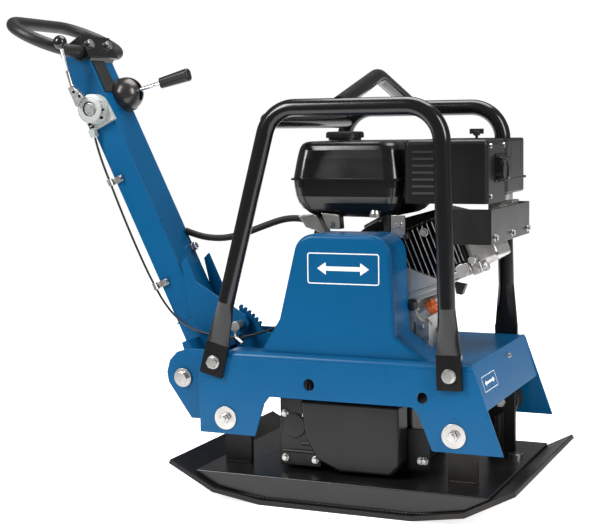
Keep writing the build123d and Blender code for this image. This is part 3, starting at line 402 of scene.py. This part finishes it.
# ---- console ------------------------------------------------------------------------------
# Six millimetre plate, laser cut, folded and welded: two side plates, a deck whose front
# runs down as an apron, the drawbar's ears and the toothed latch sector.  Gloss blue.
blue_paint = finish("blue_paint", (0.0015, 0.085, 0.215), 0.3, grain=(240.0, 0.05), drift=(3.0, 0.05),
                    specular=0.18, coat=0.04)
for node in ("side_plate_right", "side_plate_left", "pivot_ears"):
    rounded(node, 1.1, blue_paint, segments=3)
recoat("console_deck", blue_paint)
rounded("tooth_sector", 0.7, blue_paint)
console_runs = []
for side in (-1, 1):
    y = side * 199.5
    console_runs.append(((-262, y, 285), (-190, y, 285)))
    console_runs.append(((-302, side * 176, 216), (-302, side * 176, 278)))
    console_runs.append(((286, side * 197, 214), (264, side * 197, 284)))
weld("console_welds", console_runs, 2.6, blue_paint, "root")
bm = bmesh.new()
for x in BUFFER_XS:
    for side in (-1, 1):
        spot = place(x, side * 206.4, BUFFER_Z + 33)
        turned(bm, spot, side * Y_AXIS, [(0, 3.2), (1.0, 2.6), (1.4, 0.8)], segments=12)
show("punch_marks", bm, blue_paint, "root")
white_ink = finish("white_ink", (0.86, 0.87, 0.87), 0.45, grain=(800.0, 0.03), drift=(12.0, 0.03))


def arrow_label(name, centre, across, upward, width, height, body):
    """Plain printed label: a thin round-cornered line with a two-way arrow in it."""
    across, upward = Vector(across).normalized(), Vector(upward).normalized()
    normal = across.cross(upward)
    pose = Matrix((across, upward, normal)).transposed().to_4x4()
    pose = Matrix.Translation(place(*centre)) @ pose
    bm = bmesh.new()
    size = Matrix.Diagonal((width * MM, height * MM, 1, 1))
    bmesh.ops.create_grid(bm, x_segments=1, y_segments=1, size=0.5, matrix=size)
    bmesh.ops.bevel(bm, geom=bm.verts, offset=0.09 * height * MM, offset_type="OFFSET", segments=5,
                    profile=0.5, affect="VERTICES", clamp_overlap=False, material=-1)
    inner = bmesh.ops.inset_region(bm, faces=bm.faces, thickness=0.035 * height * MM, use_boundary=True)
    rim = set(inner["faces"])
    bmesh.ops.delete(bm, geom=[face for face in bm.faces if face not in rim], context="FACES_ONLY")
    tip, neck, head, bar = 0.36 * width, 0.24 * width, 0.2 * height, 0.07 * height
    half = [(0, bar), (neck, bar), (neck, head), (tip, 0), (neck, -head), (neck, -bar), (0, -bar)]
    outline = half + [(-x, y) for x, y in reversed(half[1:-1])]
    bm.faces.new([bm.verts.new(place(x, y, 0)) for x, y in outline])
    grown = bmesh.ops.extrude_face_region(bm, geom=bm.faces[:])["geom"]
    lifted = [item for item in grown if isinstance(item, bmesh.types.BMVert)]
    bmesh.ops.translate(bm, verts=lifted, vec=(0, 0, 0.25 * MM))
    bmesh.ops.transform(bm, matrix=pose, verts=bm.verts)
    bmesh.ops.recalc_face_normals(bm, faces=bm.faces)
    show(name, bm, white_ink, body)


apron_up = Vector((-29.5, 0, 91)).normalized()
apron_out = Vector((91, 0, 29.5)).normalized()
apron_spot = Vector((277.3, -128, 256)) + apron_out * 3.15
arrow_label("apron_label", apron_spot, Y_AXIS, apron_up, 92, 30, "root")
bm = bmesh.new()
bolt_head(bm, place(*(Vector((270, 40, 279)) + apron_out * 3.0)), apron_out, 8, 4, washer=6)
show("apron_screw", bm, zinc, "root")

# ---- hoops and lifting bow ------------------------------------------------------------------
# Two bent tubes whose leg ends are pressed flat and bolted on, joined by a bow for the
# crane hook and by a rear cross tube.  Black enamel with a soft gloss.
tube_black = finish("tube_black", (0.0055, 0.0055, 0.006), 0.2, grain=(300.0, 0.05), specular=0.4,
                    coat=0.12)
for node in ("hoop_right", "hoop_left", "lifting_bow", "rear_cross_tube"):
    recoat(node, tube_black)
rounded("frame_bolts", 0.7, zinc, sharp=40.0)

# ---- belt drive and belt cover ----------------------------------------------------------------
# A centrifugal clutch drives the exciter through one V-belt.  A deep pressed cover stands
# over it, with soft corners and a foot that flares out on to the console.
belt_rubber = finish("belt_rubber", (0.016, 0.015, 0.015), 0.7, grain=(1500.0, 0.2))
recoat("v_belt", belt_rubber)
recoat("belt_cover", blue_paint)
cover_low, cover_high = [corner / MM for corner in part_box("belt_cover")]
cover_spot = (1.0, cover_low.y - 0.15, 474)
arrow_label("cover_label", cover_spot, X_AXIS, Z_AXIS, 152, 62, "root")
bm = bmesh.new()
rib_outline = [(101, 345), (108, 342), (170, 302), (150, 302)]
for y in (cover_low.y + 4, cover_high.y - 8):
    panel(bm, [place(x, y, z) for x, z in rib_outline], place(0, 4, 0))
ease(bm, 1.0)
show("cover_gussets", bm, blue_paint, "root")

# ---- drawbar --------------------------------------------------------------------------------
# Folded and welded box tube on a forked foot that pivots between the ears, with a pressed
# hood bolted over its top end.
for node, width in (("drawbar_tube", 3.0), ("drawbar_foot", 1.1)):
    rounded(node, width, blue_paint, segments=4)
rounded("drawbar_bolts", 0.6, zinc, sharp=40.0)
rounded("handle_bracket", 1.0, tube_black)
LEAN = math.radians(64.3)
pivot = Vector((-367.5, 0, 233.1))
bar_up = Vector((-math.cos(LEAN), 0, math.sin(LEAN)))
bar_out = Vector((math.sin(LEAN), 0, math.cos(LEAN)))


def on_bar(along, out, y):
    """A point on the drawbar, from its pivot, in metres."""
    return (pivot + along * bar_up + out * bar_out + y * Y_AXIS) * MM


bar_pose = Matrix((bar_up, Y_AXIS, -bar_out)).transposed().to_4x4()
bar_pose = Matrix.Translation(pivot * MM) @ bar_pose
bm = bmesh.new()
block(bm, (655, -40, -33.5), (735, 12, -31), bar_pose)
ease(bm, 1.0)
show("bar_pad", bm, soft_black, "drawbar")
bm = bmesh.new()
for y in (-34, 34):
    turned(bm, on_bar(768, 49, y), bar_out, [(0, 4.6), (0.8, 3.6)], segments=6)
show("hood_bolt_faces", bm, zinc, "drawbar")
bm = bmesh.new()
for y in (-49, 49):
    for index in range(2):
        start = on_bar(118, -34 + 2 * index, y)
        turned(bm, start, bar_out, [(0, 1.4), (66, 1.4)], segments=8)
show("foot_weld", bm, blue_paint, "drawbar")

# ---- latch ----------------------------------------------------------------------------------
# A zinc-plated spring pin in a sleeve, drawn out of the toothed sector by a bent rod.
rounded("lock_pin", 0.6, zinc, sharp=40.0)
bm = bmesh.new()
for y in (-84, -52):
    turned(bm, place(-290, y, 331), Y_AXIS, [(0, 9.6), (0.6, 10.4), (3.4, 10.4), (4, 9.6)])
show("latch_rings", bm, machined, "drawbar_lock")

# ---- handle loop ------------------------------------------------------------------------------
# A steel loop dipped in soft black rubber, held under the hood by its cross piece.
grip_rubber = finish("grip_rubber", (0.015, 0.0145, 0.014), 0.42, grain=(1100.0, 0.16), specular=0.4)
recoat("handle_ring", grip_rubber)

# ---- throttle -----------------------------------------------------------------------------------
# Die-cast friction housing, a plated lever with a clamp block, and a turned ball knob.
silver_housing = finish("silver_housing", (0.5, 0.53, 0.52), 0.34, metal=0.3, grain=(400.0, 0.05))
lever_steel = finish("lever_steel", (0.6, 0.6, 0.6), 0.28, metal=1.0, grain=(500.0, 0.05),
                     drift=(22.0, 0.1))
knob_black = finish("knob_black", (0.01, 0.01, 0.011), 0.12, grain=(300.0, 0.01), specular=0.6)
moulded_black = finish("moulded_black", (0.011, 0.011, 0.0115), 0.36, grain=(1200.0, 0.08),
                       specular=0.4)
rounded("throttle_housing", 1.4, silver_housing, segments=3)
rounded("throttle_lever", 0.9, lever_steel, segments=3)
recoat("throttle_knob", knob_black)
bm = bmesh.new()
for step, radius in enumerate((29, 24, 18.5)):
    profile = [(0, radius), (0.7, radius - 0.4), (0.9, radius - 1.6), (0.35, radius - 2)]
    turned(bm, on_bar(628, 0, -80 - 0.3 * step), -Y_AXIS, profile, segments=48)
show("dial_rings", bm, silver_housing, "throttle")
screw_profile = [(0, 4.6), (1.8, 4.6), (2.3, 4.0), (2.3, 2.2), (1.2, 2.0)]
bm = bmesh.new()
for along, out in ((598, 17), (598, -17), (612, 27)):
    turned(bm, on_bar(along, out, -76), -Y_AXIS, screw_profile, segments=20)
show("dial_screws", bm, lever_steel, "drawbar")
bm = bmesh.new()
for along, out in ((661, -3), (676, -12)):
    turned(bm, on_bar(along, out, -94), -Y_AXIS, [(0, 3.4), (0.5, 3.2), (0.5, 2.4)], segments=20)
show("clamp_screws", bm, moulded_black, "throttle")
boot_top, boot_end = on_bar(597, -23, -62), on_bar(574, -27, -62)
boot_profile = [(0, 6), (3, 6.5), (5, 5.4), (8, 6), (11, 4.8), (14, 5.3), (17, 4.2), (22, 3.6)]
bm = bmesh.new()
turned(bm, boot_top, boot_end - boot_top, boot_profile, segments=24)
show("cable_boot", bm, moulded_black, "drawbar")

# ---- travel control -------------------------------------------------------------------------------
# A hydraulic travel valve under a domed casting on a ribbed rubber gasket, worked by a
# chromed rod with a tapered moulded grip.
dome_grey = finish("dome_grey", (0.075, 0.07, 0.068), 0.3, metal=0.75, grain=(260.0, 0.08))
chrome = finish("chrome", (0.78, 0.78, 0.78), 0.12, metal=1.0, grain=(600.0, 0.02),
                drift=(20.0, 0.05))
recoat("travel_dome", dome_grey)
recoat("travel_lever", chrome)
rounded("travel_grip", 0.5, moulded_black, sharp=45.0)
rib_profile = [(0, 37.0), (0.3, 38.2), (0.9, 38.2), (1.2, 37.0)]
bm = bmesh.new()
for index in range(5):
    turned(bm, on_bar(645, 31.2 + 1.3 * index, 28), bar_out, rib_profile, segments=56)
show("dome_gasket", bm, moulded_black, "drawbar")

# ---- throttle cable and hydraulic hose -------------------------------------------------------------
# A sheathed cable and a crimped hose run down from the drawbar to the engine and the
# exciter.


def held_line(name, points, radius, paint):
    """Round line through points, from the drawbar to the machine."""
    curve = bpy.data.curves.new(name + "_route", "CURVE")
    curve.dimensions = "3D"
    curve.bevel_depth = radius * MM
    curve.bevel_resolution = 4
    curve.resolution_u = 8
    curve.use_fill_caps = True
    spline = curve.splines.new("NURBS")
    spline.points.add(len(points) - 1)
    for spot, point in zip(spline.points, points):
        spot.co = (*point, 1)
    spline.order_u = 3
    spline.use_endpoint_u = True
    route = bpy.data.objects.new(name + "_route", curve)
    bpy.context.scene.collection.objects.link(route)
    bpy.context.view_layer.update()
    mesh = bpy.data.meshes.new_from_object(route)
    bpy.data.objects.remove(route)
    mesh.name = name
    mesh.materials.clear()
    mesh.materials.append(paint)
    mesh.polygons.foreach_set("use_smooth", [True] * len(mesh.polygons))
    made = bpy.data.objects.new(name, mesh)
    bpy.context.scene.collection.objects.link(made)
    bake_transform(made)
    return made


bar_route = ((570.5, -27), (545, -32), (506, -36), (464, -37.8), (412, -40.5), (352, -42.3),
                (290, -42.8), (240, -41.6), (205, -38.6))
low_route = ((-476, -64, 378), (-446, -67, 345), (-404, -70, 320), (-356, -72, 308), (-306, -73, 305),
             (-256, -76, 312), (-205, -80, 329), (-162, -82, 350), (-126, -82, 361), (-92, -82, 361))
cable_points = [on_bar(along, out, -62) for along, out in bar_route]
cable_points += [place(*point) for point in low_route]
cable = held_line("throttle_cable_run", cable_points, 2.5, moulded_black)
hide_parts("throttle_cable")
hose_route = ((-473.2, 42, 524), (-450, 50, 514), (-422, 60, 507), (-386, 70, 506), (-345, 82, 516),
              (-300, 93, 534), (-252, 106, 551), (-208, 114, 550), (-174, 119, 528), (-153, 121, 492),
              (-144, 122, 448), (-140, 122, 398), (-138.5, 122, 346), (-138, 122, 300))
hose_points = [place(*point) for point in hose_route]
hose = held_line("hydraulic_hose_run", hose_points, 7.5, soft_black)
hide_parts("hydraulic_hose")
rounded("cable_clips", 0.4, zinc, sharp=40.0)
bm = bmesh.new()
turned(bm, on_bar(266, 30, 37), bar_out, [(0, 11), (6, 11), (8, 9.5), (14, 9.5), (15, 8)], segments=6)
show("hose_fitting", bm, zinc, "drawbar")

# ---- fuel tank --------------------------------------------------------------------------------------
# Two pressed steel shells seamed round the middle: a boxy upper half with soft shoulders
# and a rounded bowl below.  Gloss black, with a moulded cap on its neck.


def stacked(bm, low, high, corner, levels):
    """Round-cornered solid from levels of (height, share of the outline), in millimetres."""
    size_x, size_y = high[0] - low[0], high[1] - low[1]
    base = place((low[0] + high[0]) / 2, (low[1] + high[1]) / 2, levels[0][0])
    flat = Matrix.Diagonal((size_x * MM, size_y * MM, 1, 1))
    flat = Matrix.Translation(base) @ flat
    grid = bmesh.ops.create_grid(bm, x_segments=1, y_segments=1, size=0.5, matrix=flat)
    cut = bmesh.ops.bevel(bm, geom=grid["verts"], offset=corner * MM, offset_type="OFFSET", segments=8,
                          profile=0.5, affect="VERTICES", clamp_overlap=False, material=-1)
    face = cut["verts"][0].link_faces[0]
    made = set(face.verts)
    bmesh.ops.scale(bm, vec=(levels[0][1],) * 3, space=Matrix.Translation(-base),
                    verts=list(face.verts))
    bottom = bmesh.ops.duplicate(bm, geom=[face])
    flip = next(item for item in bottom["geom"] if isinstance(item, bmesh.types.BMFace))
    bmesh.ops.reverse_faces(bm, faces=[flip])
    made |= set(flip.verts)
    height, share = levels[0]
    for next_height, next_share in levels[1:]:
        grown = bmesh.ops.extrude_face_region(bm, geom=[face])["geom"]
        face = next(item for item in grown if isinstance(item, bmesh.types.BMFace))
        corners = list(face.verts)
        bmesh.ops.translate(bm, verts=corners, vec=(0, 0, (next_height - height) * MM))
        middle = Matrix.Translation(-Vector((base.x, base.y, next_height * MM)))
        scale = next_share / share
        bmesh.ops.scale(bm, vec=(scale, scale, scale), space=middle, verts=corners)
        made |= set(corners)
        height, share = next_height, next_share
    bmesh.ops.remove_doubles(bm, verts=list(made), dist=0.01 * MM)
    bmesh.ops.recalc_face_normals(bm, faces=bm.faces)


tank_black = finish("tank_black", (0.006, 0.006, 0.0065), 0.2, grain=(200.0, 0.03), specular=0.4,
                    coat=0.15)
tank_levels = ((568, 0.6), (570, 0.68), (576, 0.77), (587, 0.855), (599, 0.905), (612, 0.935),
               (630, 0.955), (644, 0.962), (645, 1.0), (648.5, 1.0), (649.5, 0.965), (668, 0.943),
               (690, 0.915), (706, 0.89), (714, 0.867), (719, 0.84), (722, 0.8), (723.4, 0.74))
bm = bmesh.new()
stacked(bm, (-146.5, -129.5), (99.5, 171.5), 34, tank_levels)
tank = show("fuel_tank_shell", bm, tank_black, "root", sharp=50.0)
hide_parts("fuel_tank")
cap_base = place(-59, -20, 724)
bm = bmesh.new()
cap_profile = [(0.4, 34), (5, 34), (5.6, 39), (15, 39.4), (17.6, 37.5), (18.6, 34), (18.8, 20)]
turned(bm, cap_base, Z_AXIS, cap_profile, segments=64)
cap = show("fuel_cap_cover", bm, moulded_black, "tank_cap")
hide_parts("fuel_cap")
bm = bmesh.new()
for index in range(24):
    turn = Matrix.Translation(cap_base) @ Matrix.Rotation(math.tau * index / 24, 4, "Z")
    block(bm, (38.2, -1.6, 6.5), (39.7, 1.6, 14.5), turn)
block(bm, (-24, -4, 18), (24, 4, 18.9), Matrix.Translation(cap_base))
show("fuel_cap_grips", bm, moulded_black, "tank_cap")
bm = bmesh.new()
for y, thick, outline in ((-110, 30, ((-128, 572), (-88, 574), (-66, 535), (-112, 548))),
                          (-104, 24, ((-80, 578), (-40, 574), (-38, 545), (-66, 545)))):
    panel(bm, [place(x, y, z) for x, z in outline], place(0, thick, 0))
block(bm, (68, -96, 529), (98, -92, 575))
ease(bm, 1.4)
bolt_head(bm, place(-58, -104, 556), -Y_AXIS, 10, 6, washer=8)
bolt_head(bm, place(84, -96, 556), -Y_AXIS, 10, 6, washer=9)
turned(bm, place(36, -100, 570), Z_AXIS, [(0, 11), (8, 11), (14, 9), (18, 5), (19.5, 2)], segments=28)
show("tank_brackets", bm, zinc, "root")
bm = bmesh.new()
block(bm, (50, -90, 528), (66, -76, 600))
ease(bm, 3.0, segments=3)
show("tank_post", bm, soft_black, "root")

# ---- muffler and guard -------------------------------------------------------------------------------
# The silencer sits in a pressed sheet guard with louvres, and blows out through a short
# boxed tailpipe beside the air cleaner.
sheet_black = finish("sheet_black", (0.008, 0.008, 0.008), 0.32, grain=(500.0, 0.08), specular=0.3)
bm = bmesh.new()
block(bm, (104, -122, 600), (275, 12, 725))
under = [face for face in bm.faces if face.normal.z < -0.5]
bmesh.ops.delete(bm, geom=under, context="FACES_ONLY")
ease(bm, 11, segments=5)
bmesh.ops.solidify(bm, geom=bm.faces[:], thickness=1.2 * MM)
shell = show("muffler_guard_shell", bm, sheet_black, "root")
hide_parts("muffler_guard")
recoat("muffler", sheet_black)
bm = bmesh.new()
for index in range(7):
    z = 618 + 13.5 * index
    edge = ((-123.4, z), (-121.6, z + 6), (-119.4, z + 6), (-119.4, z))
    panel(bm, [place(122, y, height) for y, height in edge], place(46, 0, 0))
ease(bm, 0.3)
show("guard_louvres", bm, soft_black, "root")
bm = bmesh.new()
block(bm, (274, -62, 645), (289, 2, 690))
block(bm, (274, -70, 640), (276, 8, 696))
ease(bm, 3.0, segments=3)
show("tailpipe_box", bm, sheet_black, "root")
bm = bmesh.new()
for y, z in ((-105, 712), (-104, 614), (-8, 712)):
    bolt_head(bm, place(275, y, z), X_AXIS, 8, 4)
show("guard_screws", bm, zinc, "root")

# ---- air cleaner -----------------------------------------------------------------------------------
# Moulded box with a raised band and two ribs, held down by a wing nut.
rounded("air_cleaner", 5.0, moulded_black, segments=4)
rounded("wing_nut", 0.8, moulded_black, sharp=40.0)
bm = bmesh.new()
block(bm, (104.4, 17.4, 640), (273.6, 186.6, 645))
block(bm, (258, 60, 660), (273.4, 64, 718))
block(bm, (258, 140, 660), (273.4, 144, 718))
ease(bm, 1.2)
show("cleaner_band", bm, soft_black, "root")

# ---- heat shield -------------------------------------------------------------------------------------
# Bent sheet below the silencer with a satin black coat.
shield_black = finish("shield_black", (0.012, 0.011, 0.0105), 0.33, grain=(300.0, 0.05), specular=0.45)
rounded("heat_shield", 1.2, shield_black, segments=3)
bm = bmesh.new()
for y in (-96, 34, 160):
    bolt_head(bm, place(282, y, 534), X_AXIS, 10, 5, washer=8)
show("shield_screws", bm, zinc, "root")
bm = bmesh.new()
block(bm, (197, -119, 519), (203, -113, 583))
ease(bm, 1.0)
show("shield_bracket", bm, zinc, "root")

# ---- engine ------------------------------------------------------------------------------------------
# Single inclined cylinder: aluminium crankcase, a finned barrel painted black, a bright
# rocker cover on the head, a pressed fan housing and a moulded recoil starter.
cast_alloy = finish("cast_alloy", (0.5, 0.49, 0.47), 0.4, metal=0.8, grain=(420.0, 0.35),
                    drift=(14.0, 0.16), patch=((0.24, 0.22, 0.2), 22.0, 0.45))
fin_black = finish("fin_black", (0.012, 0.012, 0.012), 0.34, metal=0.3, grain=(400.0, 0.12),
                   specular=0.5)
rounded("cylinder_block", 0.6, fin_black, sharp=40.0)
recoat("crankcase", cast_alloy)
rounded("valve_cover", 2.2, cast_alloy, segments=3)
rounded("carburettor", 1.4, cast_alloy)
rounded("blower_housing", 2.5, sheet_black, segments=3)
rounded("recoil_cover", 1.0, moulded_black, sharp=40.0)
rounded("recoil_grip", 2.0, moulded_black, segments=3)
rounded("choke_lever", 0.8, moulded_black)
tilt = math.radians(22)
bore = Vector((math.cos(tilt), 0, math.sin(tilt)))
over = Vector((-math.sin(tilt), 0, math.cos(tilt)))
crank = Vector((8, -10, 440))


def on_bore(along, out, y):
    """A point beside the cylinder's axis, in metres."""
    return (crank + bore * along + over * out + y * Y_AXIS) * MM


bore_pose = Matrix((bore, Y_AXIS, over)).transposed().to_4x4()
bore_pose = Matrix.Translation(crank * MM) @ bore_pose
bm = bmesh.new()
for index in range(8):
    along = 98 + 11 * index
    for low, high in (((along + 0.4, -73.4, -56), (along + 2.2, -72.4, 60)),
                      ((along + 0.4, -66, 65.4), (along + 2.2, 60, 66.4))):
        block(bm, low, high, bore_pose)
for index in range(4):
    along = 185 + 8 * index
    block(bm, (along, -74, -36), (along + 1.6, -72.8, 52), bore_pose)
show("fin_edges", bm, cast_alloy, "root")
bm = bmesh.new()
for index in range(4):
    along = 184.6 + 8 * index
    block(bm, (along, -73, -37), (along + 2.4, -54, 53), bore_pose)
show("head_fins", bm, fin_black, "root")
bm = bmesh.new()
block(bm, (186, -70, -66), (216, -50, -40), bore_pose)
block(bm, (214, -64, -70), (236, -44, -46), bore_pose)
block(bm, (150, -70, -64), (190, -57, -50), bore_pose)
ease(bm, 3.0, segments=3)
turned(bm, on_bore(200, -52, -69), -Y_AXIS, [(0, 13), (6, 13), (7, 11.5), (7.2, 4)], segments=32)
turned(bm, on_bore(226, -40, -56), -Y_AXIS, [(0, 8), (20, 8), (21, 7)], segments=28)
turned(bm, on_bore(236, -60, -52), bore, [(0, 10), (10, 10), (11, 9)], segments=28)
for along, out in ((190, -46), (211, -46), (190, -61), (228, -62)):
    bolt_head(bm, on_bore(along, out, -71), -Y_AXIS, 8, 4)
show("port_castings", bm, cast_alloy, "root")
bm = bmesh.new()
block(bm, (215.5, -62, -55), (218, 49, 51), bore_pose)
show("head_gasket", bm, moulded_black, "root")
bm = bmesh.new()
for y in (-50, 38):
    for out in (-46, 42):
        bolt_head(bm, on_bore(270, out, y), bore, 8, 4)
bolt_head(bm, on_bore(155, 46, -76), -Y_AXIS, 14, 8, washer=9)
for x, z in ((131, 353), (144, 331), (118, 322)):
    bolt_head(bm, place(x, -92, z), -Y_AXIS, 9, 5)
show("engine_bolts", bm, zinc, "root")
bm = bmesh.new()
cheek = [(92, 301), (141, 301), (141, 352), (122, 372), (114, 400), (176, 424), (170, 446),
         (96, 470), (60, 480), (60, 320)]
panel(bm, [place(x, -91, z) for x, z in cheek], place(0, 40, 0))
panel(bm, [place(x, -93, z) for x, z in ((96, 405), (172, 432), (168, 441), (96, 416))], place(0, 3, 0))
block(bm, (112, -92, 302), (146, -84, 362))
block(bm, (104, -94, 318), (146, -86, 326))
ease(bm, 1.5)
show("crankcase_ribs", bm, cast_alloy, "root")
bm = bmesh.new()
bracket = ((190, 440), (214, 436), (206, 415), (194, 417))
panel(bm, [place(x, -66, z) for x, z in bracket], place(0, 18, 0))
ease(bm, 1.5)
screw_cap = [(0, 9), (8, 9), (9, 11), (15, 11), (16.5, 9.5)]
turned(bm, place(112, -93, 388), (0, -0.4, 0.9), screw_cap, segments=28)
turned(bm, on_bore(120, 52, -76), -Y_AXIS, [(0, 7), (4, 7), (6, 6), (12, 5.5), (14, 4)], segments=28)
show("governor_parts", bm, moulded_black, "root")
oil_orange = finish("oil_orange", (0.62, 0.12, 0.025), 0.3, grain=(500.0, 0.05), coat=0.2)
rounded("oil_cap", 0.8, oil_orange, sharp=35.0)
neck_axis = Vector((0.87, 0, 0.5)).normalized()
neck_base = Vector((108, -72, 368))
cap_spot = (neck_base + neck_axis * 52) * MM
bm = bmesh.new()
wing = Matrix.Translation(cap_spot) @ neck_axis.to_track_quat("Z", "Y").to_matrix().to_4x4()
block(bm, (-13, -2.4, -1), (13, 2.4, 5), wing)
ease(bm, 1.6, segments=3)
show("oil_cap_wing", bm, oil_orange, "oil_filler_cap")
